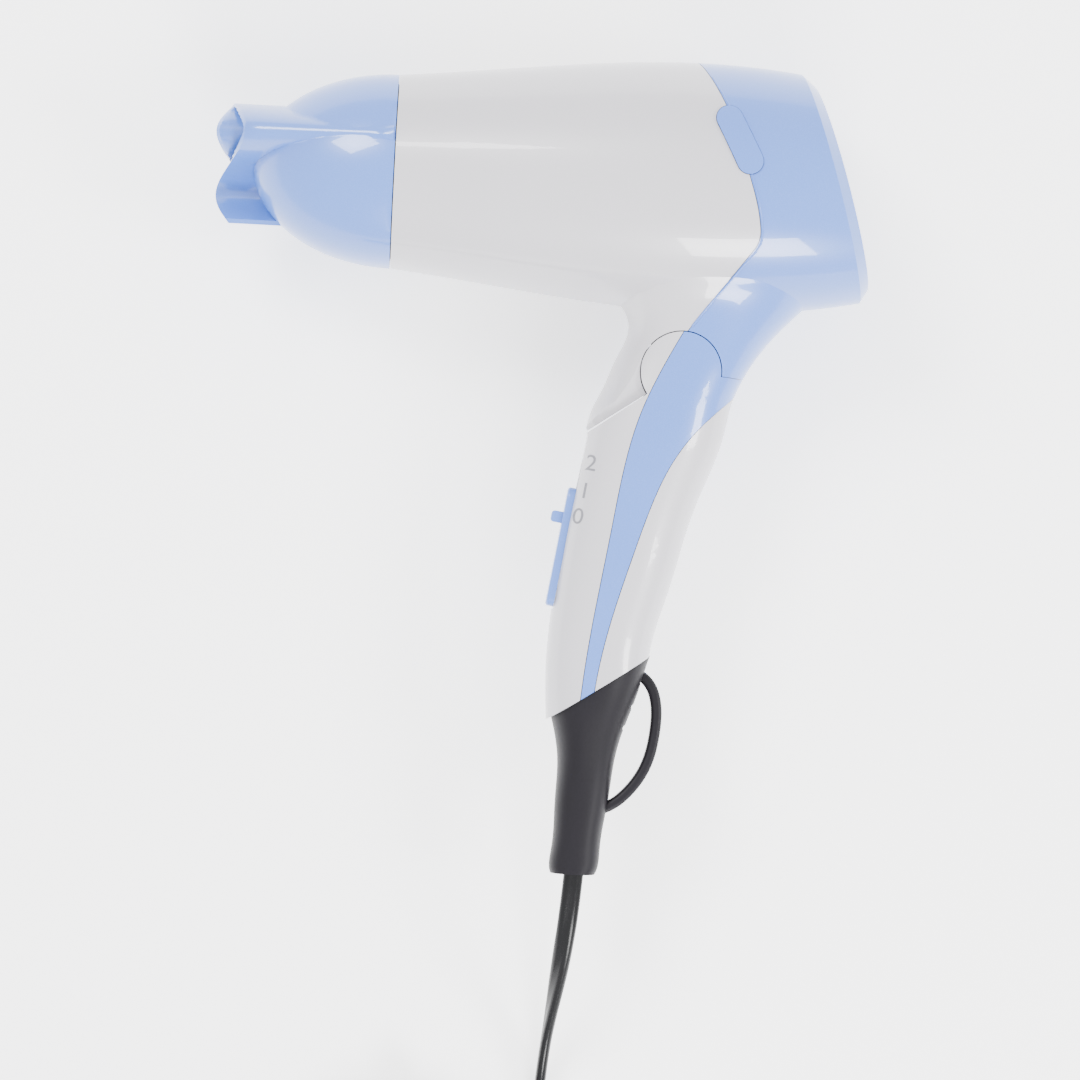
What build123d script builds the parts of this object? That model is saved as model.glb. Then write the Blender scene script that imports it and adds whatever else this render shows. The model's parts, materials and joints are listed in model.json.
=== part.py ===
"""Folding travel hair dryer with a pearl shell, a turning concentrator nozzle and a mains lead.

Millimetres. The dryer lies on its side: X runs along the barrel from nozzle to inlet, Y from the
handle up to the barrel, Z is up from the surface it lies on. Everything is drawn about the centre
of the barrel's front rim and moved to the bottom centre of the dryer's box when it is written.
"""

from build123d import *
import math
import os

os.makedirs("parts", exist_ok=True)

# Fits and walls
GAP = 0.3  # between faces of different bodies
SEAM = 0.2  # parting line between two shells
WALL = 2.2  # shells of the head
GRIP_WALL = 2.6  # shells of the handle
RUNNING = 0.05  # radial clearance of a shaft in its bore
REACH = 60.0  # half size of cutting prisms

# Barrel, a body of revolution about X
RIM_RADIUS = 27.2
BELLY_RADIUS = 35.0
BARREL_LINE = [(0, RIM_RADIUS), (42, 32.0), (85, BELLY_RADIUS), (112, 33.4), (127, 31.0), (140, 28.0)]
TAIL_POINT = (124.6, 3.2)  # where the barrel axis plane meets the slanted inlet end
TAIL_TILT = 17.7  # degrees of the inlet end from square
TAIL_CHAMFER = 3.0
TAIL_WALL = 3.0
SCREEN_RADIUS = 26.0
SCREEN_BULGE = 2.6
SCREEN_SKIN = 1.2
SCREEN_HOLE = 1.5
SCREEN_PITCH = 4.8

# Neck and handle: height, front edge, rear edge, half thickness
GRIP_ROWS = [
    (-22, 53, 126, 24.0),
    (-30, 61, 119, 20.8),
    (-36, 66.4, 113, 18.2),
    (-42, 67.4, 107.6, 16.6),
    (-48, 65, 103.3, 15.6),
    (-54, 62.6, 100, 15.4),
    (-62, 59.1, 97.2, 15.4),
    (-72, 56.6, 95.2, 15.2),
    (-85, 54.6, 90.6, 14.6),
    (-100, 52.2, 86.0, 14.0),
    (-118, 50.2, 81.4, 13.4),
    (-136, 49.3, 78.2, 13.0),
    (-156, 50.0, 75.4, 12.8),
]
NECK_ROOM_ROWS = 5
HANDLE_ROOM_ROW = 7
SECTION_POINTS = 32
SECTION_POWER = 2 / 2.3

# Fold hinge
HINGE = (82.4, -52.3)
CHEEK_RADIUS = 11.2
CHEEK_INNER = 7.3  # half width between the cheeks
KNUCKLE_RADIUS = 10.8
KNUCKLE_HALF = CHEEK_INNER - GAP
PIN_RADIUS = 2.5
PIN_HALF = 12.4
FRONT_SEAM = 215.0  # degrees about the hinge
REAR_SEAM = 357.0
SEAM_TURN = 0.7
FOLD = 60.0
FOLD_SPARE = 7.0
TUCK_START = 153.0
TUCK_REACH = 34.0
TUCK_PROFILE = [(0, 12.6), (13, 12.6), (16, 12.2), (20, 11.6), (25, 9.0), (28, 6.0), (30, 2.2), (30.3, 0)]
DETENT_OFFSET = 7.2
DETENT_RADIUS = 1.4
SPRING_WIRE = 0.3
SPRING_TURNS = 3
STEM_WIDE = 16.0
KNUCKLE_STEM = 12.0

# Colour seams, as points of the side view
HEAD_SEAM = [(80, 39.5), (85.4, 31), (90.4, 21.4), (94.4, 11.6), (97.6, 1.5), (99.8, -5.2), (101.3, -12)]
HEAD_SEAM_TURN = [(101.25, -15.6), (99.7, -18.7)]
HEAD_SEAM_END = (83.5, -41.0)
FRONT_BAND = [
    (84.2, -38),
    (76.7, -52.6),
    (71.7, -64.8),
    (68.1, -79.4),
    (65.4, -97.2),
    (61.3, -125.5),
    (58.6, -158),
]
REAR_BAND = [
    (104, -53.4),
    (94.4, -61.7),
    (86.6, -69.7),
    (80.4, -79.2),
    (75.6, -91),
    (71.6, -104),
    (66.6, -122),
]
REAR_BAND_END = (62.2, -158)

# Screws
SCREW_HEAD = 2.3
SCREW_CAP = 1.3
SCREW_CORE = 1.1
SCREW_LONG = 5.0
SCREW_SEAT = 28.6
SCREW_ACCESS = 1.5
SCREW_KEPT = 29.0  # the access holes stop short of this radius
COVER_SCREWS = [(85.2, -88.0), (77.4, -121.0)]
COVER_SCREW_SINK = 1.0

# Side caps over the shell screws
CAP_CENTRE = (94.3, 11.7)
CAP_LENGTH = 20.5
CAP_WIDTH = 7.3
CAP_TURN = 117.0
CAP_PROUD = 0.6
CAP_DEPTH = 1.2
CAP_CLEAR = 0.15

# Handle foot, strain relief and hanging loop
FOOT_FRONT = (51.07, -150.4)
FOOT_REAR = (78.95, -131.6)
FOOT_WALL = 2.6
CORD_HOLE = 3.4
BOOT_ROWS = [
    (-122, 49.4, 80.6, 13.2),
    (-131, 49.5, 78.7, 13.0),
    (-140, 49.9, 76.2, 12.6),
    (-149, 51.2, 73.4, 11.7),
    (-158, 53.4, 70.7, 10.1),
    (-167, 54.0, 69.4, 8.6),
    (-176, 53.8, 68.4, 7.8),
    (-185, 53.7, 67.3, 7.3),
    (-194, 53.6, 66.0, 7.0),
]
BOOT_GROOVES = [(76.9, -139.5), (74.7, -146.5), (72.6, -152.5)]
BOOT_GROOVE = 0.9
LOOP_PATH = [
    (75, -137),
    (79.3, -140.8),
    (81.0, -147),
    (80.9, -153),
    (78.6, -163.3),
    (74.4, -170),
    (70, -174),
    (66.5, -175.6),
]
LOOP_THICK = 3.0
LOOP_WIDE = 5.0

# Switch
TRACK_POINT = (53.2, -94.6)
TRACK_TILT = 8.3
TRACK_DEPTH = 1.0
TRACK_UP = 24.6
TRACK_DOWN = 25.6
SLIDER_THICK = 2.3
SLIDER_HALF = 5.4
SLIDER_UP = 8.8
SLIDER_DOWN = 25.0
SLIDER_TRAVEL = 15.2
TAB_OUT = 3.2
TAB_THICK = 3.2
TAB_WIDE = 7.0
STEM_HALF = 1.6
STEM_LENGTH = 9.0
SWITCH_SINK = 2.6
SWITCH_DEEP = 8.0
SWITCH_HALF = 5.2
SWITCH_UP = 17.0
SWITCH_DOWN = 8.0
SWITCH_WALL = 1.2

# Concentrator
DOME_LENGTH = 39.8
DOME_WALL = 2.0
NOZZLE_TIP = 48.5
SLOT_HALF_HEIGHT = 16.5
SLOT_SWING = 6.5
SLOT_THICK = 8.5
SLOT_WALL = 1.3
SLOT_STEPS = 12
SLOT_BLUNT = 6

# Heater, motor and fan
COLLAR_RADIUS = 24.4
COLLAR_WALL = 1.6
COLLAR_OUT = 5.0
GRILLE_AT = 2.0
GRILLE_THICK = 2.4
GRILLE_BARS = 10
GRILLE_BAR = 1.2
GRILLE_RINGS = (6.0, 12.0, 18.0)
TUBE_RADIUS = 24.6
TUBE_SKIN = 0.6
TUBE_START = 9.0
TUBE_END = 62.0
BOARD_THICK = 0.8
BOARD_HALF = 19.4
COIL_WIRE = 0.6
COIL_TURNS = 9
COIL_INSET = 4.0
THERMO_AT = 14.0
THERMO_OFF = 8.0
THERMO_WIDE = 7.0
THERMO_LONG = 14.0
FUSE_RADIUS = 2.0
FUSE_LONG = 11.0
BOARD_BACK = 4.5
DIODE_LONG = 2.6
DIODE_WIDE = 1.6
MOTOR_RADIUS = 12.0
MOTOR_START = 70.0
MOTOR_END = 95.0
SHAFT_RADIUS = 1.0
SHAFT_END = 108.0
DUCT_RADIUS = 30.4
DUCT_SKIN = 1.4
DUCT_END = 111.0
VANES = 7
VANE_THICK = 1.2
VANE_LONG = 24.5
FAN_START = 97.0
FAN_END = 109.0
FAN_HUB = 9.0
FAN_RADIUS = 28.2
FAN_BLADES = 9
BLADE_THICK = 1.1
BLADE_PITCH = 38.0
FAN_ROUND = 3.0

# Leads inside
FLEX_INSIDE = 64.0
CLAMP_THICK = 8.0
CLAMP_LONG = 5.0
CLAMP_WIDE = 13.4
CLAMP_SCREWS = (-4.2, 4.2)
LEAD_RADIUS = 0.9
SUPPLY_LEAD = [(60.2, -129.5, 1.3), (60.8, -118, 2.2), (60.2, -104.5, 3.0)]
HEAD_LEAD = [(69.5, -92, 3.0), (73.5, -90.4, 3.2), (78, -88, 3.4), (82.5, -85.8, 3.6), (86, -84.4, 3.6)]
MOTOR_LEAD = [
    (72.2, -36.5, 3.0),
    (70.4, -34.0, 3.1),
    (68.3, -30.8, 3.3),
    (66.6, -25.5, 3.5),
    (66.2, -19.0, 3.6),
    (66.2, -14.5, 3.7),
]

# Lead: 1.6 m of flat twin flex, 5.6 mm across
CORD_DIAMETER = 5.6
CORD_EXIT = (60.2, -194.0, 0.0)
CORD_FALL = [
    (59.6, -205.0, -1.8),
    (58.4, -218.0, -8.6),
    (57.0, -231.0, -18.2),
    (55.6, -244.0, -26.8),
    (54.6, -257.0, -31.4),
]
CORD_LYING = [(53.9, -272.0), (53.6, -288.0)]
COIL_MEAN = 31.0
COIL_WIDTH = 16.4
COIL_HEIGHT = 11.4
COIL_SIDE = 37.2  # from the lead's line to the middle of the coil
COIL_DOWN = 16.0  # from the lead's last point to the middle of the coil
PLUG_LENGTH = 38.0
PLUG_WIDE = 36.0
PLUG_HIGH = 15.0
PLUG_NECK = 20.0
PLUG_SECTIONS = [(0.0, 1.0, 1.0), (0.55, 0.92, 1.0), (1.0, 0.42, 0.85)]
PLUG_FROM_COIL = 24.0
PLUG_PIN = 2.4
PLUG_PIN_OUT = 19.0
PLUG_PIN_ROOT = 8.0
PLUG_PIN_CORE = 1.6
PLUG_PIN_NECK = 0.3
PLUG_PIN_TIP = 1.2
PLUG_PIN_SPACING = 19.0
TIE_LONG = 9.0
TIE_THICK = 1.0


def oval_points(row, inset):
    """Points round the oval section of the neck, handle or boot at one height."""
    _, front, rear, half = row
    along = (rear - front) / 2 - inset
    across = half - inset
    points = []
    for step in range(SECTION_POINTS):
        turn = math.tau * step / SECTION_POINTS
        cosine, sine = math.cos(turn), math.sin(turn)
        x = (front + rear) / 2 + along * math.copysign(abs(cosine) ** SECTION_POWER, cosine)
        points.append((x, across * math.copysign(abs(sine) ** SECTION_POWER, sine)))
    return points


def oval_loft(rows, inset=0.0):
    """Lofted body through the oval sections of some rows."""
    with BuildPart() as body:
        for row in rows:
            with BuildSketch(Plane((0, row[0], 0), x_dir=(1, 0, 0), z_dir=(0, -1, 0))):
                with BuildLine():
                    Spline(*oval_points(row, inset), periodic=True)
                make_face()
        loft()
    return body.part


def turned_barrel(offset, start, end):
    """Barrel envelope moved in or out by an offset, between two stations."""
    with BuildPart() as body:
        with BuildSketch(Plane.XY):
            with BuildLine():
                line = Spline(*[(x, r + offset) for x, r in BARREL_LINE])
                Polyline(line @ 1, (BARREL_LINE[-1][0], 0), (BARREL_LINE[0][0], 0), line @ 0)
            make_face()
        revolve(axis=Axis.X)
        with Locations(((start + end) / 2, 0, 0)):
            Box(end - start, 2 * REACH, 2 * REACH, mode=Mode.INTERSECT)
    return body.part


def wedge(start, end, reach, half=REACH):
    """Prism over a sector of a circle about the hinge, angles in degrees."""
    steps = 8
    points = [HINGE]
    for step in range(steps + 1):
        turn = math.radians(start + (end - start) * step / steps)
        points.append((HINGE[0] + reach * math.cos(turn), HINGE[1] + reach * math.sin(turn)))
    with BuildPart() as body:
        with BuildSketch(Plane.XY.offset(-half)):
            Polygon(*points, align=None)
        extrude(amount=2 * half)
    return body.part


def hinge_drum(radius, low, high):
    """Cylinder on the hinge axis between two heights."""
    with BuildPart(Plane.XY.offset(low)) as body:
        with Locations(HINGE):
            Cylinder(radius, high - low, align=(Align.CENTER, Align.CENTER, Align.MIN))
    return body.part


def tuck_body(extra):
    """Turned shape about the hinge that the neck's shield keeps inside as it folds into the handle."""
    half = [(HINGE[0] + r + (extra if r else 0), z + extra) for r, z in TUCK_PROFILE]
    outline = half + [(x, -z) for x, z in reversed(half)]
    with BuildPart() as body:
        with BuildSketch(Plane((0, HINGE[1], 0), x_dir=(1, 0, 0), z_dir=(0, -1, 0))):
            Polygon(*outline, align=None)
        revolve(axis=Axis((HINGE[0], HINGE[1], 0), (0, 0, 1)))
    return body.part


def head_side(shift, behind):
    """Prism over the side view in front of or behind the head's colour seam."""
    far = 170 if behind else -20
    with BuildPart() as body:
        with BuildSketch(Plane.XY.offset(-REACH)):
            with BuildLine():
                upper = Spline(*[(x + shift, y) for x, y in HEAD_SEAM])
                turn = ThreePointArc(upper @ 1, *[(x + shift, y) for x, y in HEAD_SEAM_TURN])
                end = (HEAD_SEAM_END[0] + shift, HEAD_SEAM_END[1])
                foot = (HINGE[0] + shift, HINGE[1] - REACH)
                Polyline(turn @ 1, end, foot, (far, foot[1]), (far, HEAD_SEAM[0][1]), upper @ 0)
            make_face()
        extrude(amount=2 * REACH)
    return body.part


def handle_side(front_line, rear_line):
    """Prism over the side view between two lines, each a list of points from top to bottom."""
    with BuildPart() as body:
        with BuildSketch(Plane.XY.offset(-REACH)):
            with BuildLine():
                front = Spline(*front_line) if len(front_line) > 2 else Line(*front_line)
                rear = Spline(*rear_line) if len(rear_line) > 2 else Line(*rear_line)
                Line(front @ 0, rear @ 0)
                Line(front @ 1, rear @ 1)
            make_face()
        extrude(amount=2 * REACH)
    return body.part


def moved_line(line, shift):
    """The same line of the side view, moved along X."""
    return [(x + shift, y) for x, y in line]


def cap_prism(extra, side):
    """Oval prism of a side cap, grown by an amount, on one side of the barrel."""
    with BuildPart() as body:
        with BuildSketch(Plane.XY):
            with Locations(Location((*CAP_CENTRE, 0), (0, 0, CAP_TURN))):
                SlotOverall(CAP_LENGTH + 2 * extra, CAP_WIDTH + 2 * extra)
        extrude(amount=side * REACH)
    return body.part


def wire_path(points, radius):
    """Round wire through a list of points, with its corners rounded as far as the runs allow."""
    turns = []
    for before, corner, after in zip(points, points[1:], points[2:]):
        first, second = Vector(corner) - Vector(before), Vector(after) - Vector(corner)
        shorter = min(first.length, second.length)
        turns.append(0.45 * shorter / math.tan(math.radians(first.get_angle(second) / 2)))
    with BuildPart() as body:
        with BuildLine() as path:
            FilletPolyline(*points, radius=turns)
        start = path.wire() @ 0
        with BuildSketch(Plane(start, z_dir=path.wire() % 0)):
            Circle(radius)
        sweep(path=path.wire())
    return body.part, turns, path.wire().length


def slot_points(inset):
    """Points round the S-shaped section of the concentrator's duct."""
    sides = {1: [], -1: []}
    for step in range(-SLOT_STEPS, SLOT_STEPS + 1):
        share = step / SLOT_STEPS
        height = (SLOT_HALF_HEIGHT - inset) * share
        swing = SLOT_SWING * math.sin(math.pi * height / SLOT_HALF_HEIGHT)
        slope = SLOT_SWING * math.pi / SLOT_HALF_HEIGHT * math.cos(math.pi * height / SLOT_HALF_HEIGHT)
        across = (SLOT_THICK / 2 - inset) * math.sqrt(max(0.0, 1 - share**SLOT_BLUNT))
        length = math.hypot(1, slope)
        for side, points in sides.items():
            points.append((height - side * across * slope / length, swing + side * across / length))
    return sides[1][:-1] + list(reversed(sides[-1]))[:-1]


# Envelopes shared by the shells
tail = Plane((*TAIL_POINT, 0), x_dir=(0, 0, 1), z_dir=Vector(1, 0, 0).rotate(Axis.Z, TAIL_TILT))
foot_line = Vector(*FOOT_REAR) - Vector(*FOOT_FRONT)
foot = Plane((*FOOT_FRONT, 0), x_dir=(0, 0, 1), z_dir=Vector(foot_line.Y, -foot_line.X, 0))
along = Vector(0, 1, 0).rotate(Axis.Z, -TRACK_TILT)
track = Plane((*TRACK_POINT, 0), x_dir=along, z_dir=along.rotate(Axis.Z, 90)).offset(-TRACK_DEPTH)
BEYOND = (Align.CENTER, Align.CENTER, Align.MIN)
WITHIN = (Align.CENTER, Align.CENTER, Align.MAX)
FORWARD = (Align.MIN, Align.CENTER, Align.CENTER)
on_axis = Plane.YZ  # stations along the barrel

with BuildPart() as barrel:
    add(turned_barrel(0, BARREL_LINE[0][0], BARREL_LINE[-1][0]))
    with Locations(tail):
        Box(2 * REACH, 2 * REACH, REACH, align=BEYOND, mode=Mode.SUBTRACT)
    chamfer(barrel.faces().sort_by(Axis((0, 0, 0), tuple(tail.z_dir)))[-1].edges(), TAIL_CHAMFER)

with BuildPart() as barrel_room:
    add(turned_barrel(-WALL, BARREL_LINE[0][0], BARREL_LINE[-1][0]))
    with Locations(tail.offset(-TAIL_WALL)):
        Box(2 * REACH, 2 * REACH, REACH, align=BEYOND, mode=Mode.SUBTRACT)
    with Locations(tail):
        Cylinder(SCREEN_RADIUS + CAP_CLEAR, 2 * TAIL_WALL)

grip = oval_loft(GRIP_ROWS)
neck_room = oval_loft(GRIP_ROWS[:NECK_ROOM_ROWS], WALL)
shield = tuck_body(0)
shield_room = tuck_body(GAP)
cap_floor = turned_barrel(-CAP_DEPTH - CAP_CLEAR, 60, 130)
cap_under = turned_barrel(-CAP_DEPTH, 60, 130)
cap_over = turned_barrel(CAP_PROUD, 60, 130)

with BuildPart() as head:
    add(barrel.part)
    add(grip)
    add(wedge(FRONT_SEAM, REAR_SEAM, 3 * REACH), mode=Mode.SUBTRACT)
    add(hinge_drum(CHEEK_RADIUS + GAP, -REACH, REACH), mode=Mode.SUBTRACT)
    add(barrel_room.part, mode=Mode.SUBTRACT)
    add(neck_room, mode=Mode.SUBTRACT)

with BuildPart() as shield_waste:
    add(wedge(TUCK_START, FRONT_SEAM + 1, TUCK_REACH))
    add(shield, mode=Mode.SUBTRACT)

with BuildPart() as cap_recess:
    for side in (-1, 1):
        add(cap_prism(CAP_CLEAR, side))
    add(cap_floor, mode=Mode.SUBTRACT)
    with Locations((*CAP_CENTRE, 0)):
        Cylinder(SCREW_ACCESS, 2 * REACH)
    Cylinder(SCREW_KEPT, 2 * REACH, rotation=(0, 90, 0), mode=Mode.SUBTRACT)

with BuildPart() as front_shell:
    add(head.part)
    add(shield_waste.part, mode=Mode.SUBTRACT)
    add(cap_recess.part, mode=Mode.SUBTRACT)
    add(head_side(-SEAM, False), mode=Mode.INTERSECT)

with BuildPart() as rear_shell:
    add(head.part)
    add(cap_recess.part, mode=Mode.SUBTRACT)
    add(head_side(0, True), mode=Mode.INTERSECT)

with BuildPart() as side_cap_left:
    add(cap_prism(0, 1))
    add(cap_over, mode=Mode.INTERSECT)
    add(cap_under, mode=Mode.SUBTRACT)

with BuildPart() as side_cap_right:
    mirror(side_cap_left.part, about=Plane.XY)

with BuildPart() as shell_screws:
    for side in (-1, 1):
        with Locations(Location((*CAP_CENTRE, side * SCREW_SEAT), (0 if side > 0 else 180, 0, 0))):
            Cylinder(SCREW_HEAD, SCREW_CAP, align=WITHIN)
            Cylinder(SCREW_CORE, SCREW_LONG, align=WITHIN)

with BuildPart(tail) as inlet_screen:
    Cylinder(SCREEN_RADIUS, 4 * TAIL_WALL)
    bulge_radius = (SCREEN_RADIUS**2 + SCREEN_BULGE**2) / (2 * SCREEN_BULGE)
    with Locations((0, 0, SCREEN_BULGE - bulge_radius)):
        Sphere(bulge_radius, mode=Mode.INTERSECT)
        Sphere(bulge_radius - SCREEN_SKIN, mode=Mode.SUBTRACT)
    with HexLocations(SCREEN_PITCH / 2, 11, 11):
        Cylinder(SCREEN_HOLE, 4 * TAIL_WALL, mode=Mode.SUBTRACT)

# Hinge: a knuckle of the head between the two cheeks of the handle
with BuildPart() as knuckle:
    add(hinge_drum(KNUCKLE_RADIUS, -KNUCKLE_HALF, KNUCKLE_HALF))
    with Locations((HINGE[0], HINGE[1] + KNUCKLE_RADIUS - 3, 0)):
        Box(STEM_WIDE, KNUCKLE_STEM, 2 * KNUCKLE_HALF, align=(Align.CENTER, Align.MIN, Align.CENTER))
    with Locations(HINGE):
        Cylinder(PIN_RADIUS + RUNNING, 2 * REACH, mode=Mode.SUBTRACT)

with BuildPart() as hinge_pin:
    add(hinge_drum(PIN_RADIUS, -PIN_HALF, PIN_HALF))

detent_spot = (HINGE[0] + DETENT_OFFSET, HINGE[1])
with BuildPart() as detent_ball:
    with Locations((*detent_spot, CHEEK_INNER + DETENT_RADIUS)):
        Sphere(DETENT_RADIUS)

detent_room = PIN_HALF - CHEEK_INNER
spring_start = CHEEK_INNER + 2 * DETENT_RADIUS + SPRING_WIRE
with BuildPart() as detent_spring:
    for turn in range(SPRING_TURNS):
        with Locations((*detent_spot, spring_start + turn * 2 * SPRING_WIRE)):
            Torus(DETENT_RADIUS - 2 * SPRING_WIRE, SPRING_WIRE)

# Handle
with BuildPart() as handle_room:
    add(oval_loft(GRIP_ROWS[HANDLE_ROOM_ROW:], GRIP_WALL))
    with Locations(foot.offset(-FOOT_WALL)):
        Box(4 * REACH, 4 * REACH, REACH, align=BEYOND, mode=Mode.SUBTRACT)

with BuildPart() as tuck_room:
    add(wedge(FRONT_SEAM - 1, FRONT_SEAM + FOLD + FOLD_SPARE, TUCK_REACH))
    add(shield_room, mode=Mode.INTERSECT)
    for low, high in ((CHEEK_INNER, REACH), (-REACH, -CHEEK_INNER)):
        add(hinge_drum(CHEEK_RADIUS, low, high), mode=Mode.SUBTRACT)

with BuildPart() as handle:
    add(wedge(FRONT_SEAM + SEAM_TURN, REAR_SEAM - SEAM_TURN, 3 * REACH))
    add(hinge_drum(CHEEK_RADIUS, -REACH, REACH))
    add(grip, mode=Mode.INTERSECT)
    add(tuck_room.part, mode=Mode.SUBTRACT)
    add(hinge_drum(CHEEK_RADIUS, -CHEEK_INNER, CHEEK_INNER), mode=Mode.SUBTRACT)
    add(handle_room.part, mode=Mode.SUBTRACT)
    add(hinge_pin.part, mode=Mode.SUBTRACT)
    with Locations((*detent_spot, CHEEK_INNER)):
        Cylinder(DETENT_RADIUS + CAP_CLEAR, detent_room, align=BEYOND, mode=Mode.SUBTRACT)
    with Locations(foot):
        Box(4 * REACH, 4 * REACH, REACH, align=BEYOND, mode=Mode.SUBTRACT)
    with Locations((CORD_EXIT[0], FOOT_FRONT[1], 0)):
        Cylinder(CORD_HOLE, REACH / 2, rotation=(90, 0, 0), mode=Mode.SUBTRACT)
    with Locations(track):
        with Locations(((TRACK_UP - TRACK_DOWN) / 2, 0, 0)):
            Box(TRACK_UP + TRACK_DOWN, 2 * (SLIDER_HALF + GAP), REACH / 4, align=BEYOND, mode=Mode.SUBTRACT)
        with Locations((SLIDER_TRAVEL / 2, 0, 0)):
            slot = 2 * (STEM_HALF + GAP)
            Box(SLIDER_TRAVEL + slot, slot, REACH / 4, mode=Mode.SUBTRACT)

rear_band = REAR_BAND + [REAR_BAND_END]
with BuildPart() as handle_front_shell:
    add(handle.part)
    front_edge = [(20, FRONT_BAND[0][1]), (20, FRONT_BAND[-1][1])]
    add(handle_side(front_edge, moved_line(FRONT_BAND, -SEAM)), mode=Mode.INTERSECT)

with BuildPart() as handle_rear_shell:
    add(handle.part)
    add(handle_side(FRONT_BAND, rear_band), mode=Mode.INTERSECT)

with BuildPart() as handle_back_cover:
    add(handle.part)
    rear_edge = [(130, rear_band[0][1]), (130, rear_band[-1][1])]
    add(handle_side(moved_line(rear_band, SEAM), rear_edge), mode=Mode.INTERSECT)
    with Locations(*[Location((*spot, 0), (0, 90, 0)) for spot in COVER_SCREWS]):
        Cylinder(SCREW_CORE, REACH, mode=Mode.SUBTRACT)
        with Locations((0, 0, COVER_SCREW_SINK)):
            Cylinder(SCREW_HEAD + CAP_CLEAR, REACH, align=BEYOND, mode=Mode.SUBTRACT)

with BuildPart() as cover_screws:
    with Locations(*[Location((*spot, 0), (0, 90, 0)) for spot in COVER_SCREWS]):
        with Locations((0, 0, COVER_SCREW_SINK)):
            Cylinder(SCREW_HEAD, SCREW_CAP, align=BEYOND)
            Cylinder(SCREW_CORE, SCREW_LONG, align=WITHIN)

# Switch on the front of the handle
with BuildPart(track.offset(CAP_CLEAR)) as switch_slider:
    with Locations(((SLIDER_UP - SLIDER_DOWN) / 2, 0, 0)):
        Box(SLIDER_UP + SLIDER_DOWN, 2 * SLIDER_HALF, SLIDER_THICK, align=BEYOND)
    upright = switch_slider.edges().filter_by(lambda edge: abs((edge % 0).dot(track.z_dir)) > 0.99)
    fillet(upright, SLIDER_HALF * 0.55)
    outside = switch_slider.faces().sort_by(Axis((0, 0, 0), tuple(track.z_dir)))[-1]
    fillet(outside.edges(), SLIDER_THICK * 0.35)
    Box(TAB_THICK, TAB_WIDE, SLIDER_THICK + TAB_OUT, align=BEYOND)
    fillet(switch_slider.faces().sort_by(Axis((0, 0, 0), tuple(track.z_dir)))[-1].edges(), TAB_THICK * 0.3)

with BuildPart(track.offset(CAP_CLEAR)) as switch_stem:
    Box(2 * STEM_HALF, 2 * STEM_HALF, STEM_LENGTH, align=WITHIN)

switch_face = TRACK_DEPTH - GRIP_WALL - SWITCH_SINK
with BuildPart(track) as switch_body:
    with Locations(((SWITCH_UP - SWITCH_DOWN) / 2, 0, switch_face)):
        Box(SWITCH_UP + SWITCH_DOWN, 2 * SWITCH_HALF, SWITCH_DEEP, align=WITHIN)
    with Locations((SLIDER_TRAVEL / 2, 0, 0)):
        Box(SLIDER_TRAVEL + slot, slot, 2 * (STEM_LENGTH + GAP), mode=Mode.SUBTRACT)

# Strain relief boot with its hanging loop, both rubber
with BuildPart() as strain_relief:
    add(oval_loft(BOOT_ROWS))
    with Locations(foot):
        Box(4 * REACH, 4 * REACH, REACH, align=WITHIN, mode=Mode.SUBTRACT)
    with Locations(*[(x, y, 0) for x, y in BOOT_GROOVES]):
        Cylinder(BOOT_GROOVE, REACH, mode=Mode.SUBTRACT)
    with Locations((CORD_EXIT[0], CORD_EXIT[1] - 1, 0)):
        Cylinder(CORD_DIAMETER / 2, 2 * REACH, rotation=(90, 0, 0), mode=Mode.SUBTRACT)

with BuildPart() as hanging_loop:
    with BuildLine() as loop_line:
        Spline(*LOOP_PATH)
    with BuildSketch(Plane(loop_line.line @ 0, x_dir=(0, 0, 1), z_dir=loop_line.line % 0)):
        RectangleRounded(LOOP_WIDE, LOOP_THICK, LOOP_THICK * 0.4)
    sweep()
    add(oval_loft(BOOT_ROWS), mode=Mode.SUBTRACT)

# Flex inside the handle, its clamp and the leads
with BuildPart() as inner_flex:
    with Locations((CORD_EXIT[0], CORD_EXIT[1], 0)):
        Cylinder(CORD_DIAMETER / 2, FLEX_INSIDE, rotation=(-90, 0, 0), align=BEYOND)

clamp_height = CORD_EXIT[1] + FLEX_INSIDE - CLAMP_LONG
with BuildPart() as cord_clamp:
    with Locations((CORD_EXIT[0], clamp_height, 0)):
        Box(CLAMP_THICK, CLAMP_LONG, CLAMP_WIDE)
    add(inner_flex.part, mode=Mode.SUBTRACT)
    with Locations(*[Location((CORD_EXIT[0], clamp_height, z), (0, 90, 0)) for z in CLAMP_SCREWS]):
        Cylinder(SCREW_CORE, REACH, mode=Mode.SUBTRACT)

with BuildPart() as clamp_screws:
    clamp_face = CORD_EXIT[0] + CLAMP_THICK / 2
    with Locations(*[Location((clamp_face, clamp_height, z), (0, 90, 0)) for z in CLAMP_SCREWS]):
        Cylinder(SCREW_HEAD * 0.8, SCREW_CAP, align=BEYOND)
        Cylinder(SCREW_CORE, CLAMP_THICK, align=WITHIN)

with BuildPart() as lead_wires:
    for side in (-1, 1):
        first = [(x, y, side * z) for x, y, z in SUPPLY_LEAD]
        second = [(x, y, side * z) for x, y, z in HEAD_LEAD]
        add(wire_path(first, LEAD_RADIUS)[0])
        add(wire_path(second, LEAD_RADIUS)[0])

# Concentrator: half an ellipsoid crossed by an S-shaped duct
with BuildPart() as dome_room:
    with BuildSketch(Plane.XY):
        with BuildLine():
            arc = EllipticalCenterArc((0, 0), DOME_LENGTH - DOME_WALL, RIM_RADIUS - DOME_WALL, 90, arc_size=90)
            Polyline(arc @ 0, (0, 0), arc @ 1)
        make_face()
    revolve(axis=Axis.X)

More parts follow.
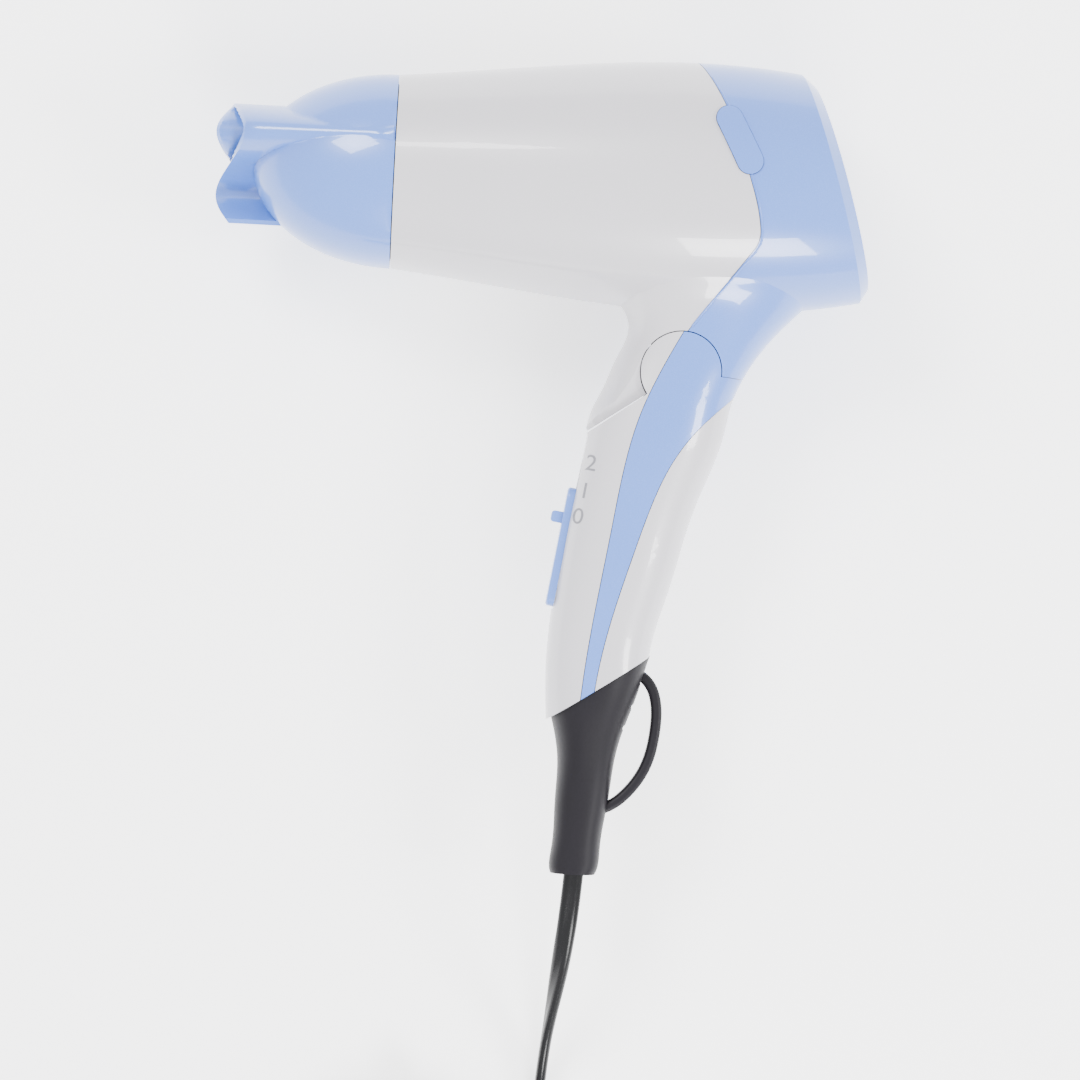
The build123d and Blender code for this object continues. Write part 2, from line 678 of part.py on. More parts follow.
with BuildPart() as concentrator:
    with BuildSketch(Plane.XY):
        with BuildLine():
            arc = EllipticalCenterArc((0, 0), DOME_LENGTH, RIM_RADIUS, 90, arc_size=90)
            Polyline(arc @ 0, (0, 0), arc @ 1)
        make_face()
    revolve(axis=Axis.X)
    with BuildSketch(Plane.YZ):
        with BuildLine():
            Spline(*slot_points(0), periodic=True)
        make_face()
    extrude(amount=-NOZZLE_TIP)
    add(dome_room.part, mode=Mode.SUBTRACT)
    with BuildSketch(Plane.YZ):
        with BuildLine():
            Spline(*slot_points(SLOT_WALL), periodic=True)
        make_face()
    extrude(amount=-2 * NOZZLE_TIP, mode=Mode.SUBTRACT)
    Box(2 * GAP, 2 * REACH, 2 * REACH, mode=Mode.SUBTRACT)

# Outlet end of the barrel
with BuildPart(on_axis) as outlet_collar:
    Cylinder(COLLAR_RADIUS, COLLAR_OUT, align=WITHIN)
    Cylinder(RIM_RADIUS - WALL, GRILLE_AT, align=BEYOND)
    Cylinder(COLLAR_RADIUS - COLLAR_WALL, REACH, mode=Mode.SUBTRACT)

with BuildPart(on_axis.offset(GRILLE_AT)) as outlet_grille:
    Cylinder(RIM_RADIUS - WALL, GRILLE_THICK, align=BEYOND)
    Cylinder(COLLAR_RADIUS - COLLAR_WALL, GRILLE_THICK, align=BEYOND, mode=Mode.SUBTRACT)
    with PolarLocations(0, GRILLE_BARS):
        Box(COLLAR_RADIUS, GRILLE_BAR, GRILLE_THICK, align=(Align.MIN, Align.CENTER, Align.MIN))
    for ring in GRILLE_RINGS:
        Cylinder(ring + GRILLE_BAR / 2, GRILLE_THICK, align=BEYOND)
        Cylinder(ring - GRILLE_BAR / 2, GRILLE_THICK, align=BEYOND, mode=Mode.SUBTRACT)
        with PolarLocations(0, GRILLE_BARS):
            Box(ring + 1, GRILLE_BAR, GRILLE_THICK, align=(Align.MIN, Align.CENTER, Align.MIN))

# Heater: windings round two crossed boards in a tube
heater_long = TUBE_END - TUBE_START
with BuildPart(on_axis.offset(TUBE_START)) as heater_tube:
    Cylinder(TUBE_RADIUS, heater_long, align=BEYOND)
    Cylinder(TUBE_RADIUS - TUBE_SKIN, heater_long, align=BEYOND, mode=Mode.SUBTRACT)

boards = {}
for name, size, cut in (("heater_board_upright", (1, 0), TUBE_START), ("heater_board_level", (0, 1), TUBE_END)):
    with BuildPart() as heater_board:
        with Locations((TUBE_START, 0, 0)):
            high = 2 * BOARD_HALF * size[0] + BOARD_THICK * size[1]
            wide = 2 * BOARD_HALF * size[1] + BOARD_THICK * size[0]
            Box(heater_long, high, wide, align=FORWARD)
        with Locations((cut, 0, 0)):
            Box(heater_long, BOARD_THICK, BOARD_THICK, mode=Mode.SUBTRACT)
    boards[name] = heater_board

with BuildPart(on_axis.offset(TUBE_START + COIL_INSET)) as heater_windings:
    pitch = (heater_long - 2 * COIL_INSET) / (COIL_TURNS - 1)
    with Locations(*[(0, 0, turn * pitch) for turn in range(COIL_TURNS)]):
        Torus(BOARD_HALF + COIL_WIRE + CAP_CLEAR, COIL_WIRE)

with BuildPart(on_axis.offset(TUBE_START + THERMO_AT)) as thermostat:
    with Locations((THERMO_OFF, THERMO_OFF, 0)):
        Box(THERMO_WIDE, THERMO_WIDE, THERMO_LONG, align=BEYOND)

with BuildPart(on_axis.offset(TUBE_START + THERMO_AT)) as thermal_fuse:
    with Locations((-THERMO_OFF, THERMO_OFF, 0)):
        Cylinder(FUSE_RADIUS, FUSE_LONG, align=BEYOND)

# Motor, duct and fan
with BuildPart(on_axis.offset(MOTOR_START)) as motor_can:
    Cylinder(MOTOR_RADIUS, MOTOR_END - MOTOR_START, align=BEYOND)
    Cylinder(SHAFT_RADIUS + RUNNING, REACH, mode=Mode.SUBTRACT)

with BuildPart(on_axis.offset(MOTOR_START - BOARD_BACK)) as rectifier_board:
    Cylinder(MOTOR_RADIUS, BOARD_THICK * 2, align=BEYOND)
    with PolarLocations(MOTOR_RADIUS * 0.6, 4):
        Box(DIODE_LONG, DIODE_WIDE, DIODE_WIDE + 2 * BOARD_THICK, align=BEYOND)
    Cylinder(SHAFT_RADIUS + GAP, REACH, mode=Mode.SUBTRACT)

with BuildPart() as fan_duct:
    with Locations(on_axis.offset(MOTOR_START)):
        Cylinder(DUCT_RADIUS, DUCT_END - MOTOR_START, align=BEYOND)
        Cylinder(DUCT_RADIUS - DUCT_SKIN, DUCT_END - MOTOR_START, align=BEYOND, mode=Mode.SUBTRACT)
        with PolarLocations(MOTOR_RADIUS + DUCT_SKIN / 2, VANES):
            vane = DUCT_RADIUS - MOTOR_RADIUS - DUCT_SKIN
            Box(vane, VANE_THICK, VANE_LONG, align=(Align.MIN, Align.CENTER, Align.MIN))
        Cylinder(MOTOR_RADIUS + DUCT_SKIN, VANE_LONG, align=BEYOND)
        Cylinder(MOTOR_RADIUS, REACH, align=BEYOND, mode=Mode.SUBTRACT)
    add(shell_screws.part, mode=Mode.SUBTRACT)

with BuildPart(on_axis.offset(MOTOR_START + 2)) as motor_shaft:
    Cylinder(SHAFT_RADIUS, SHAFT_END - MOTOR_START - 2, align=BEYOND)

with BuildPart(on_axis.offset(FAN_START)) as fan_impeller:
    with PolarLocations(0, FAN_BLADES):
        with Locations(Location((FAN_HUB - 1, 0, (FAN_END - FAN_START) / 2), (BLADE_PITCH, 0, 0))):
            blade = FAN_RADIUS - FAN_HUB + 1
            Box(blade, BLADE_THICK, FAN_END - FAN_START, align=(Align.MIN, Align.CENTER, Align.CENTER))
    Cylinder(FAN_RADIUS, FAN_END - FAN_START, align=BEYOND, mode=Mode.INTERSECT)
    Cylinder(FAN_HUB, FAN_END - FAN_START, align=BEYOND)
    with Locations((0, 0, FAN_END - FAN_START)):
        Cone(FAN_HUB, FAN_HUB - FAN_ROUND, FAN_ROUND, align=BEYOND)
    Cylinder(SHAFT_RADIUS, REACH, mode=Mode.SUBTRACT)

with BuildPart() as head_leads:
    for side in (-1, 1):
        add(wire_path([(x, y, side * z) for x, y, z in MOTOR_LEAD], LEAD_RADIUS)[0])

# The dryer's own pieces
dryer = {
    "front_shell": front_shell,
    "rear_shell": rear_shell,
    "side_cap_left": side_cap_left,
    "side_cap_right": side_cap_right,
    "shell_screws": shell_screws,
    "inlet_screen": inlet_screen,
    "hinge_knuckle": knuckle,
    "hinge_pin": hinge_pin,
    "detent_ball": detent_ball,
    "detent_spring": detent_spring,
    "handle_front_shell": handle_front_shell,
    "handle_rear_shell": handle_rear_shell,
    "handle_back_cover": handle_back_cover,
    "cover_screws": cover_screws,
    "switch_slider": switch_slider,
    "switch_stem": switch_stem,
    "switch_body": switch_body,
    "strain_relief": strain_relief,
    "hanging_loop": hanging_loop,
    "inner_flex": inner_flex,
    "cord_clamp": cord_clamp,
    "clamp_screws": clamp_screws,
    "lead_wires": lead_wires,
    "concentrator": concentrator,
    "outlet_collar": outlet_collar,
    "outlet_grille": outlet_grille,
    "heater_tube": heater_tube,
    "heater_board_upright": boards["heater_board_upright"],
    "heater_board_level": boards["heater_board_level"],
    "heater_windings": heater_windings,
    "thermostat": thermostat,
    "thermal_fuse": thermal_fuse,
    "motor_can": motor_can,
    "rectifier_board": rectifier_board,
    "fan_duct": fan_duct,
    "motor_shaft": motor_shaft,
    "fan_impeller": fan_impeller,
    "head_leads": head_leads,
}

# The surface that the dryer lies on
boxes = [piece.part.bounding_box() for piece in dryer.values()]
low = [min(tuple(box.min)[axis] for box in boxes) for axis in range(3)]
high = [max(tuple(box.max)[axis] for box in boxes) for axis in range(3)]
floor = low[2]
origin = Vector((low[0] + high[0]) / 2, (low[1] + high[1]) / 2, floor)

# Mains lead, its put-away coil and the plug
lying = floor + CORD_DIAMETER / 2
cord_route = [CORD_EXIT, *CORD_FALL, *[(x, y, lying) for x, y in CORD_LYING]]
lead, lead_radii, lead_length = wire_path(cord_route, CORD_DIAMETER / 2)
with BuildPart() as mains_cord:
    add(lead)

coil_spot = (CORD_LYING[-1][0] - COIL_SIDE, CORD_LYING[-1][1] - COIL_DOWN)
with BuildPart(Plane.XY.offset(floor)) as cord_coil:
    with Locations(coil_spot):
        Cylinder(COIL_MEAN + COIL_WIDTH / 2, COIL_HEIGHT, align=BEYOND)
        Cylinder(COIL_MEAN - COIL_WIDTH / 2, COIL_HEIGHT, align=BEYOND, mode=Mode.SUBTRACT)

with BuildPart() as cord_tie:
    with Locations((coil_spot[0], coil_spot[1] + COIL_MEAN, floor)):
        Box(TIE_LONG, COIL_WIDTH + 2 * TIE_THICK, COIL_HEIGHT + TIE_THICK, align=BEYOND)
    add(cord_coil.part, mode=Mode.SUBTRACT)

plug_row = coil_spot[1] - COIL_SIDE
plug_high = floor + PLUG_HIGH / 2
plug_back = coil_spot[0] - PLUG_FROM_COIL
coil_top = floor + COIL_HEIGHT - CORD_DIAMETER / 2
plug_route = [
    (coil_spot[0], plug_row, coil_top),
    (coil_spot[0] - PLUG_FROM_COIL / 3, plug_row + 0.4, coil_top - 0.1),
    (coil_spot[0] - PLUG_FROM_COIL * 2 / 3, plug_row + 0.3, plug_high + 0.3),
    (plug_back, plug_row, plug_high),
]
end_lead, end_radii, end_length = wire_path(plug_route, CORD_DIAMETER / 2)
with BuildPart() as plug_lead:
    add(end_lead)

plug_face = plug_back - PLUG_NECK - PLUG_LENGTH
plug_front = Plane((plug_face, plug_row, plug_high), x_dir=(0, 1, 0), z_dir=(-1, 0, 0))
pin_spots = [(side * PLUG_PIN_SPACING / 2, 0, 0) for side in (-1, 1)]
with BuildPart(plug_front) as plug_pins:
    with Locations(*pin_spots):
        with Locations((0, 0, PLUG_PIN_NECK)):
            Cylinder(PLUG_PIN, PLUG_PIN_OUT - PLUG_PIN_NECK, align=BEYOND)
        Cylinder(PLUG_PIN_CORE, PLUG_PIN_OUT / 2, align=BEYOND)
        Cylinder(PLUG_PIN_CORE, PLUG_PIN_ROOT, align=WITHIN)
    chamfer(plug_pins.edges().filter_by(GeomType.CIRCLE).group_by(Axis.X)[0], PLUG_PIN_TIP)

with BuildPart() as plug_body:
    for back, wide, tall in PLUG_SECTIONS:
        with BuildSketch(plug_front.offset(-back * PLUG_LENGTH)):
            RectangleRounded(PLUG_WIDE * wide, PLUG_HIGH * tall, PLUG_HIGH * tall * 0.45)
    loft()
    with BuildSketch(plug_front.offset(-PLUG_LENGTH)):
        RectangleRounded(PLUG_WIDE * PLUG_SECTIONS[-1][1] - 2, PLUG_HIGH * 0.7, PLUG_HIGH * 0.3)
    with BuildSketch(plug_front.offset(-PLUG_LENGTH - PLUG_NECK)):
        RectangleRounded(CORD_DIAMETER + 2, CORD_DIAMETER + 1, CORD_DIAMETER * 0.4)
    loft()
    add(plug_pins.part, mode=Mode.SUBTRACT)

# Write every piece about the bottom centre of the dryer's box
lead_pieces = {
    "mains_cord": mains_cord,
    "cord_coil": cord_coil,
    "cord_tie": cord_tie,
    "plug_lead": plug_lead,
    "plug_body": plug_body,
    "plug_pins": plug_pins,
}
for node, piece in {**dryer, **lead_pieces}.items():
    placed = Location(-origin) * piece.part
    placed.label = node
    export_step(placed, f"parts/{node}.step")

print("origin", origin)
print("hinge", Vector(*HINGE, 0) - origin)
print("track direction", track.x_dir)
print("cord exit", Vector(*CORD_EXIT) - origin)
print("cord route", [tuple(round(value, 2) for value in Vector(*point) - origin) for point in cord_route])
print("plug route", [tuple(round(value, 2) for value in Vector(*point) - origin) for point in plug_route])
print("cord radii", [round(radius, 1) for radius in lead_radii + end_radii])
lead_area = math.pi * CORD_DIAMETER**2 / 4
print("cord volumes", lead.volume, lead_length * lead_area, end_lead.volume, end_length * lead_area)
print("coil middle", Vector(*coil_spot, floor) - origin)
print("pins", [tuple(plug_front.from_local_coords(Vector(*spot)) - origin) for spot in pin_spots])
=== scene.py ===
"""Looks of a folding travel hair dryer: pearl shells, rubber strain relief, flat twin flex and its coil."""

import json
import logging
import math
from dataclasses import dataclass, field
from enum import Enum
from typing import Callable, Iterable, Sequence

import bmesh
import bpy
from mathutils import Matrix, Vector
from mathutils.bvhtree import BVHTree


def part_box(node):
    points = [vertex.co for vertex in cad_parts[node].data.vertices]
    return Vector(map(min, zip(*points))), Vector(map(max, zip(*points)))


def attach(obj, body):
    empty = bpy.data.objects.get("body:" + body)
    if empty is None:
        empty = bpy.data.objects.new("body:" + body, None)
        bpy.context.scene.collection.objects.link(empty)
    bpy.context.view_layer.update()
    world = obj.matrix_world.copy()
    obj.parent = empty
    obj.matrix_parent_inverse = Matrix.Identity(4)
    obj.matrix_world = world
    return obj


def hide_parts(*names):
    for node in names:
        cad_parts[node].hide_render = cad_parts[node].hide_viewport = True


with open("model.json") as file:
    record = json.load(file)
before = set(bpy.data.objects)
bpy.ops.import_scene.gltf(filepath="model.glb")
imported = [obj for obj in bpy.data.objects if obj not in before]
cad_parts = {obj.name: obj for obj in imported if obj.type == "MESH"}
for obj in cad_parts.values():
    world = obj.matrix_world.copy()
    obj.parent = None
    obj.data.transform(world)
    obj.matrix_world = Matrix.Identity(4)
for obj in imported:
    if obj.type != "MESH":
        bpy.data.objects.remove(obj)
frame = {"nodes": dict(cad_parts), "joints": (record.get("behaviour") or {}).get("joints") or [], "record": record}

logging.basicConfig(level=logging.INFO, format="%(levelname)s %(message)s")
log = logging.getLogger("dryer")

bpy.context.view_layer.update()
MM = 0.001
JOINTS = {joint["name"]: joint for joint in frame["joints"]}
RIM = Vector(JOINTS["nozzle_turn"]["pos_m"])
SLOT_OF = {part["node"]: part["material_slot"] for part in frame["record"]["subparts"]}

Number = float | int


def spot(along: float, up: float, out: float = 0.0) -> Vector:
    """Point of the dryer given in millimetres from the middle of the barrel's front rim.

    Args:
        along: distance towards the inlet.
        up: distance away from the handle.
        out: distance above the dryer's middle plane.

    Returns:
        The point in metres, in the frame.
    """
    return RIM + Vector((along, up, out)) * MM


# ---------------------------------------------------------------- shader maths


class Wire:
    """A shader socket that adds Math nodes when it is used in an expression."""

    def __init__(self, graph: "Graph", socket: bpy.types.NodeSocket | None) -> None:
        """Wraps one output socket of a graph."""
        self.graph = graph
        self.socket = socket

    def _math(self, operation: str, left: "Wire | Number", right: "Wire | Number" = 0.0) -> "Wire":
        """Adds one Math node.

        Args:
            operation: the node's operation.
            left: its first value.
            right: its second value.

        Returns:
            The node's result.
        """
        return self.graph.node("ShaderNodeMath", {"operation": operation}, {0: left, 1: right})

    def __add__(self, other: "Wire | Number") -> "Wire":
        """Sum."""
        return self._math("ADD", self, other)

    __radd__ = __add__

    def __sub__(self, other: "Wire | Number") -> "Wire":
        """Difference."""
        return self._math("SUBTRACT", self, other)

    def __rsub__(self, other: Number) -> "Wire":
        """Difference from a number."""
        return self._math("SUBTRACT", other, self)

    def __mul__(self, other: "Wire | Number") -> "Wire":
        """Product."""
        return self._math("MULTIPLY", self, other)

    __rmul__ = __mul__


class Graph:
    """Node tree of one material."""

    def __init__(self, name: str) -> None:
        """Makes a material with an empty tree."""
        self.material = bpy.data.materials.new(name)
        self.material.use_nodes = True
        self.tree = self.material.node_tree
        self.tree.nodes.clear()

    def node(self, kind: str, settings: dict | None = None, values: dict | None = None, out: int | str = 0) -> Wire:
        """Adds a node, sets it and links or fills its sockets.

        Args:
            kind: the node's type.
            settings: attributes set first; "stops" fills a colour ramp.
            values: numbers, tuples or wires by socket name or index.
            out: the output that is returned.

        Returns:
            The chosen output as a wire.
        """
        made = self.tree.nodes.new(kind)
        for key, value in (settings or {}).items():
            if key == "stops":
                ramp = made.color_ramp
                while len(ramp.elements) < len(value):
                    ramp.elements.new(0.5)
                for element, (place, colour) in zip(ramp.elements, value):
                    element.position = place
                    element.color = (*colour, 1.0)
            else:
                setattr(made, key, value)
        for key, value in (values or {}).items():
            socket = made.inputs[key]
            if isinstance(value, Wire):
                self.tree.links.new(value.socket, socket)
            else:
                socket.default_value = value
        return Wire(self, made.outputs[out] if len(made.outputs) else None)

    def place(self) -> Wire:
        """Object coordinates."""
        return self.node("ShaderNodeTexCoord", out="Object")

    def noise(self, scale: float, detail: float = 3.0, stretch: Sequence[float] = (1, 1, 1)) -> Wire:
        """Noise in object space.

        Args:
            scale: number of grains in a metre.
            detail: how many finer layers it has.
            stretch: scale along each axis.

        Returns:
            The noise, from 0 to 1.
        """
        where = self.node("ShaderNodeMapping", {}, {"Vector": self.place(), "Scale": tuple(stretch)})
        return self.node("ShaderNodeTexNoise", {}, {"Vector": where, "Scale": scale, "Detail": detail})

    def mix(self, share: Wire | Number, first: Sequence[float], second: Sequence[float] | Wire) -> Wire:
        """Colour between two colours.

        Args:
            share: 0 for the first colour, 1 for the second.
            first: linear red, green and blue.
            second: linear red, green and blue, or a colour wire.

        Returns:
            The mixed colour.
        """
        values = {"Factor": share, 6: (*first, 1.0), 7: second if isinstance(second, Wire) else (*second, 1.0)}
        return self.node("ShaderNodeMix", {"data_type": "RGBA"}, values, out=2)

    def bump(self, height: Wire, strength: float, distance: float) -> Wire:
        """Normal from a height, a strength and a depth in metres."""
        return self.node("ShaderNodeBump", {}, {"Height": height, "Strength": strength, "Distance": distance})

    def finish(self, values: dict) -> bpy.types.Material:
        """Closes the tree with a Principled shader.

        Args:
            values: numbers, tuples or wires by the shader's socket name.

        Returns:
            The finished material.
        """
        surface = self.node("ShaderNodeBsdfPrincipled", {}, values)
        self.node("ShaderNodeOutputMaterial", {}, {"Surface": surface})
        return self.material


class Make(Enum):
    """How a surface is made."""

    PEARL = "pearl"
    MOULDED = "moulded"
    RUBBER = "rubber"
    METAL = "metal"
    SHEET = "sheet"


@dataclass(frozen=True)
class Finish:
    """One finish of the dryer.

    colour and tint are the two linear colours that it wanders between, grain is the number of fine grains in a
    metre, relief the depth of its texture in metres, coat the lacquer's weight and gloss the specular level.
    """

    name: str
    make: Make
    colour: tuple[float, float, float]
    tint: tuple[float, float, float]
    rough: float
    grain: float = 900.0
    relief: float = 0.00002
    coat: float = 0.0
    gloss: float = 0.5

    def material(self) -> bpy.types.Material:
        """Builds the material.

        Returns:
            The material, with its colour, roughness and relief varying over the surface.
        """
        graph = Graph(self.name)
        cloud = graph.noise(self.grain * 0.03, 2.0)
        fine = graph.noise(self.grain, 3.0)
        if self.make is Make.PEARL:
            flake = graph.node(
                "ShaderNodeTexVoronoi", {}, {"Vector": graph.place(), "Scale": self.grain * 4}, out="Distance"
            )
            colour = graph.mix(flake * 0.5 + cloud * 0.35, self.colour, self.tint)
            rough = self.rough + (fine - 0.5) * 0.06
            height = graph.noise(self.grain * 0.35, 1.0)
        elif self.make is Make.METAL:
            drawn = graph.noise(self.grain, 2.0, (1, 14, 14))
            colour = graph.mix(drawn, self.colour, self.tint)
            rough = self.rough + (drawn - 0.5) * 0.16
            height = drawn
        elif self.make is Make.SHEET:
            layers = graph.noise(self.grain * 0.2, 6.0, (1, 1, 4))
            colour = graph.mix(layers, self.colour, self.tint)
            rough = self.rough + layers * 0.2
            height = layers
        else:
            colour = graph.mix(cloud * 0.6 + fine * 0.4, self.colour, self.tint)
            rough = self.rough + (fine - 0.5) * 0.14
            height = fine
        values = {
            "Base Color": colour,
            "Roughness": rough,
            "Metallic": 1.0 if self.make is Make.METAL else 0.0,
            "Normal": graph.bump(height, 0.35 if self.make is Make.RUBBER else 0.12, self.relief),
            "Coat Weight": self.coat,
            "Coat Roughness": 0.04,
            "Specular IOR Level": self.gloss,
        }
        return graph.finish(values)


FINISHES = {
    "pearl_white": Finish("pearl_white", Make.PEARL, (0.41, 0.40, 0.43), (0.47, 0.46, 0.49), 0.30, coat=0.5),
    "pearl_blue": Finish("pearl_blue", Make.PEARL, (0.052, 0.145, 0.50), (0.10, 0.21, 0.60), 0.30, coat=0.6),
    "rubber_black": Finish(
        "rubber_black", Make.RUBBER, (0.0035, 0.003, 0.0045), (0.008, 0.007, 0.010),
        0.46, 1500.0, gloss=0.16,
    ),
    "cord_black": Finish(
        "cord_black", Make.MOULDED, (0.0025, 0.0025, 0.003), (0.005, 0.005, 0.006),
        0.26, 1200.0, gloss=0.2,
    ),
    "screen_white": Finish("screen_white", Make.MOULDED, (0.40, 0.44, 0.55), (0.52, 0.56, 0.66), 0.32),
    "steel": Finish("steel", Make.METAL, (0.48, 0.48, 0.50), (0.66, 0.66, 0.68), 0.30),
    "pin_metal": Finish("pin_metal", Make.METAL, (0.62, 0.60, 0.55), (0.78, 0.76, 0.70), 0.24),
    "motor_metal": Finish("motor_metal", Make.METAL, (0.40, 0.41, 0.43), (0.56, 0.57, 0.60), 0.34),
    "inner_plastic": Finish(
        "inner_plastic", Make.MOULDED, (0.006, 0.006, 0.007), (0.012, 0.012, 0.014),
        0.48, gloss=0.3,
    ),
    "duct_plastic": Finish("duct_plastic", Make.MOULDED, (0.50, 0.50, 0.47), (0.60, 0.60, 0.57), 0.45),
    "mica": Finish("mica", Make.SHEET, (0.52, 0.44, 0.30), (0.72, 0.66, 0.52), 0.35),
    "winding": Finish("winding", Make.METAL, (0.30, 0.27, 0.24), (0.44, 0.40, 0.36), 0.40),
    "circuit": Finish("circuit", Make.SHEET, (0.03, 0.12, 0.05), (0.06, 0.20, 0.09), 0.40),
    "lead_red": Finish("lead_red", Make.MOULDED, (0.36, 0.03, 0.03), (0.48, 0.06, 0.05), 0.38),
    "fuse_metal": Finish("fuse_metal", Make.METAL, (0.62, 0.62, 0.60), (0.78, 0.77, 0.74), 0.28),
}
DIGIT_GREY = Finish("digit_grey", Make.MOULDED, (0.13, 0.13, 0.15), (0.17, 0.17, 0.19), 0.45)


class Paint:
    """Makes each material once."""

    def __init__(self) -> None:
        """Starts with no materials."""
        self.made: dict[str, bpy.types.Material] = {}

    def of(self, finish: Finish) -> bpy.types.Material:
        """Gives the material of a finish, and makes it the first time.

        Args:
            finish: the finish.

        Returns:
            Its material.
        """
        if finish.name not in self.made:
            self.made[finish.name] = finish.material()
        return self.made[finish.name]

    def slot(self, slot: str) -> bpy.types.Material:
        """Material of a slot of the record."""
        return self.of(FINISHES[slot])


# ---------------------------------------------------------------- mesh helpers


def mesh_object(name: str, verts: Iterable[Vector], faces: Iterable[Sequence[int]]) -> bpy.types.Object:
    """Makes an object of points and faces, with doubles merged and normals outward.

    Args:
        name: name of the object.
        verts: its points, in metres in the frame.
        faces: point numbers of each face.

    Returns:
        The object, linked to the scene.
    """
    mesh = bpy.data.meshes.new(name)
    mesh.from_pydata([tuple(v) for v in verts], [], [tuple(f) for f in faces])
    body = bmesh.new()
    body.from_mesh(mesh)
    bmesh.ops.remove_doubles(body, verts=body.verts, dist=1e-6)
    bmesh.ops.recalc_face_normals(body, faces=body.faces)
    body.to_mesh(mesh)
    body.free()
    made = bpy.data.objects.new(name, mesh)
    bpy.context.scene.collection.objects.link(made)
    return made


def smooth(piece: bpy.types.Object, angle: float = 32.0) -> None:
    """Shades a mesh smooth, with edges sharper than an angle kept sharp."""
    piece.data.shade_smooth()
    piece.data.set_sharp_from_angle(angle=math.radians(angle))


def settle(piece: bpy.types.Object) -> None:
    """Turns a piece's modifiers into its mesh.

    Args:
        piece: the object, which loses its modifiers.
    """
    graph = bpy.context.evaluated_depsgraph_get()
    final = bpy.data.meshes.new_from_object(piece.evaluated_get(graph))
    piece.modifiers.clear()
    piece.data = final


def dress(piece: bpy.types.Object, material: bpy.types.Material, body: str) -> bpy.types.Object:
    """Gives a piece its material, body and record slot.

    Args:
        piece: the object.
        material: its only material.
        body: the body that it rides on.

    Returns:
        The same object.
    """
    piece.data.materials.clear()
    piece.data.materials.append(material)
    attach(piece, body)
    log.info("%s: %d faces on %s", piece.name, len(piece.data.polygons), body)
    return piece


def lathe(name: str, profile: Sequence[tuple[float, float]], turns: int = 128) -> bpy.types.Object:
    """Closed solid turned about the barrel's axis.

    Args:
        name: name of the object.
        profile: station and radius, in millimetres, from one pole to the other.
        turns: number of facets.

    Returns:
        The object.
    """
    verts, faces = [], []
    for along, radius in profile:
        for turn in range(turns):
            angle = math.tau * turn / turns
            verts.append(spot(along, radius * math.cos(angle), radius * math.sin(angle)))
    for ring in range(len(profile) - 1):
        for turn in range(turns):
            after = (turn + 1) % turns
            first, second = ring * turns, (ring + 1) * turns
            faces.append((first + turn, first + after, second + after, second + turn))
    return mesh_object(name, verts, faces)


def carve(target: bpy.types.Object, tool: bpy.types.Object, operation: str) -> None:
    """Joins or cuts a solid with another and removes the tool.

    Args:
        target: the solid that is kept.
        tool: the solid that is used up.
        operation: UNION or DIFFERENCE.
    """
    modifier = target.modifiers.new("carve", "BOOLEAN")
    modifier.operation = operation
    modifier.solver = "EXACT"
    modifier.object = tool
    settle(target)
    bpy.data.objects.remove(tool)


def drape(points: Sequence[tuple[float, float]], nodes: Sequence[str], side: int, lift: float) -> list[Vector]:
    """Drops points of the side view onto the dryer's shells.

    Args:
        points: along and up, in millimetres from the rim.
        nodes: names of the CAD nodes that the points land on.
        side: 1 for the upper side, -1 for the lower side.
        lift: height above the surface, in millimetres.

    Returns:
        The points that land, in the frame.
    """
    trees = []
    for node in nodes:
        body = bmesh.new()
        body.from_mesh(frame["nodes"][node].data)
        trees.append(BVHTree.FromBMesh(body))
        body.free()
    landed = []
    for along, up in points:
        start = spot(along, up, side * 80)
        hits = [tree.ray_cast(start, Vector((0, 0, -side)))[0] for tree in trees]
        hits = [hit for hit in hits if hit is not None]
        if hits:
            landed.append(max(hits, key=lambda hit: side * hit.z) + Vector((0, 0, side * lift * MM)))
    return landed


def sweep(
    name: str,
    path: Sequence[Vector],
    ring: Sequence[tuple[float, float]],
    wide: Callable[[float, Vector], Vector],
) -> bpy.types.Object:
    """Closed tube of one section along a path.

    Args:
        name: name of the object.
        path: the points that it follows.
        ring: points of the section, in metres across and through.
        wide: direction of the section's width at a share of the path, given the tangent.

    Returns:
        The object.
    """
    verts, faces, count = [], [], len(ring)
    last = len(path) - 1
    for index, point in enumerate(path):
        share = index / last
        tangent = (path[min(index + 1, last)] - path[max(index - 1, 0)]).normalized()
        across = wide(share, tangent)
        across = (across - tangent * across.dot(tangent)).normalized()
        through = tangent.cross(across)
        verts += [point + across * x + through * y for x, y in ring]
    for index in range(last):
        for turn in range(count):
            after = (turn + 1) % count
            first, second = index * count, (index + 1) * count
            faces.append((first + turn, first + after, second + after, second + turn))
    faces.append(tuple(range(count)))
    faces.append(tuple(range(last * count, (last + 1) * count)))
    return mesh_object(name, verts, faces)


# ---------------------------------------------------------------- sub-assemblies


